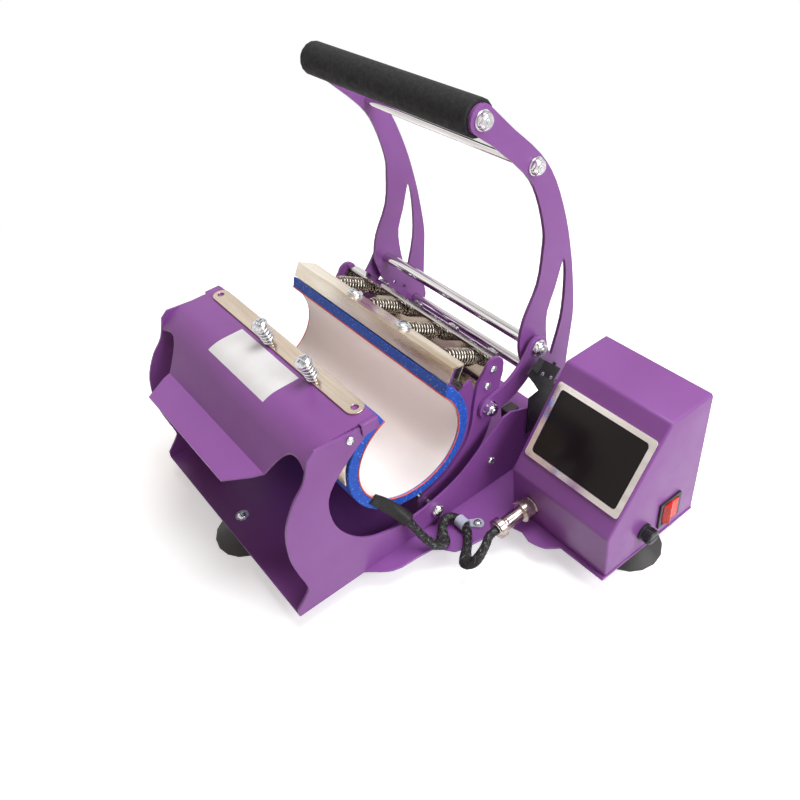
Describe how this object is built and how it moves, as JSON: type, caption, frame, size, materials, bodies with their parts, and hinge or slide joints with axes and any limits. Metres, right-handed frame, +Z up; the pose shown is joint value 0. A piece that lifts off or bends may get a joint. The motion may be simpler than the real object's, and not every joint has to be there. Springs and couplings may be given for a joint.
{
  "type": "tumbler heat press",
  "caption": "Benchtop tumbler heat press with a curved heating mat in a sheet steel cradle, a toggle lever with a foam grip and a sloping control box on one base plate.",
  "frame": {"origin": "centre of the bounding box's underside, on the surface that the feet stand on", "axes": "+X from the cradle to the control box, +Y from the front to the rear, +Z up"},
  "size_m": [0.3856, 0.3294, 0.3508],
  "materials": {
    "powder_coat": "satin powder coat",
    "polished_steel": "polished",
    "zinc": "zinc plated",
    "silicone": "silicone foam",
    "liner": "coated glass cloth",
    "foam": "foam",
    "rubber": "matte",
    "black_plastic": "moulded",
    "red_plastic": "gloss",
    "screen": "gloss",
    "clear_plastic": "milky nylon",
    "board": "coated board"
  },
  "bodies": {
    "base": {"base_plate": "powder_coat", "cheek_left": "powder_coat", "cheek_right": "powder_coat", "front_cover": "powder_coat", "front_clamp_strip": "polished_steel", "front_screw_left": "zinc", "front_screw_right": "zinc", "front_spring_left": "zinc", "front_spring_right": "zinc", "silicone_pad": "silicone", "heater_liner": "liner", "front_shell": "polished_steel", "hinge_rod": "zinc", "fulcrum_bar": "zinc", "display_bezel": "polished_steel", "display_screen": "screen", "control_box_shell": "powder_coat", "box_rear_panel": "powder_coat", "rocker_frame": "black_plastic", "fuse_holder": "black_plastic", "heater_socket": "zinc", "heater_plug": "zinc", "power_inlet": "black_plastic", "control_board": "board", "foot_1": "rubber", "foot_2": "rubber", "foot_3": "rubber", "foot_4": "rubber", "switch_bracket": "black_plastic", "limit_switch": "black_plastic", "link_stop": "rubber", "cable_boot": "rubber", "heater_cable": "rubber", "cable_clip": "clear_plastic"},
    "jaw": {"jaw_side_left": "powder_coat", "jaw_side_right": "powder_coat", "jaw_shell": "powder_coat", "jaw_channel": "polished_steel", "jaw_spring_1": "zinc", "jaw_spring_2": "zinc", "jaw_spring_3": "zinc", "jaw_spring_4": "zinc"},
    "sprung_strip": {"jaw_strip": "polished_steel", "strip_screw_left": "zinc", "strip_screw_right": "zinc", "guide_bolt_1": "zinc", "guide_bolt_2": "zinc", "guide_bolt_3": "zinc", "guide_bolt_4": "zinc"},
    "lever": {"arm_left": "powder_coat", "arm_right": "powder_coat", "grip_tube": "polished_steel", "upper_tie_bar": "polished_steel", "link_bar": "polished_steel", "foam_grip": "foam"},
    "links": {"link_left": "powder_coat", "link_right": "powder_coat"},
    "switch_rocker": {"rocker": "red_plastic"},
    "cap_of_fuse": {"fuse_cap": "black_plastic"},
    "plunger": {"switch_plunger": "black_plastic"}
  },
  "joints": [
    {"name": "lever_pull", "type": "hinge", "parent": "base", "child": "lever", "pos_m": [-0.06825, 0.1443, 0.0686], "axis": [1, 0, 0], "range_deg": [0, 40]},
    {"name": "jaw_close", "type": "hinge", "parent": "base", "child": "jaw", "pos_m": [-0.06825, -0.0113, 0.0355], "axis": [1, 0, 0], "range_deg": [0, 28], "deforming": ["silicone_pad", "heater_liner"]},
    {"name": "link_swing", "type": "hinge", "parent": "lever", "child": "links", "pos_m": [-0.06825, 0.1153, 0.1321], "axis": [1, 0, 0], "range_deg": [-95, 0]},
    {"name": "strip_float", "type": "slide", "parent": "jaw", "child": "sprung_strip", "axis": [0, 0.866, -0.5], "range_m": [0, 0.005], "stiffness_N_per_m": 2500, "springref_m": -0.002, "deforming": ["jaw_spring_1", "jaw_spring_2", "jaw_spring_3", "jaw_spring_4"]},
    {"name": "rocker_tip", "type": "hinge", "parent": "base", "child": "switch_rocker", "pos_m": [0.17925, 0.11905, 0.0446], "axis": [0, 0, 1], "range_deg": [-26, 0]},
    {"name": "fuse_cap_turn", "type": "hinge", "parent": "base", "child": "cap_of_fuse", "pos_m": [0.18825, 0.0903, 0.0411], "axis": [1, 0, 0], "range_deg": [0, 90]},
    {"name": "plunger_press", "type": "slide", "parent": "base", "child": "plunger", "axis": [0, -0.7193, -0.6947], "range_m": [0, 0.0012], "stiffness_N_per_m": 300}
  ],
  "couplings": [
    {"joint": "jaw_close", "follows": "lever_pull", "ratio": 0.682},
    {"joint": "link_swing", "follows": "lever_pull", "ratio": -2.3505}
  ]
}
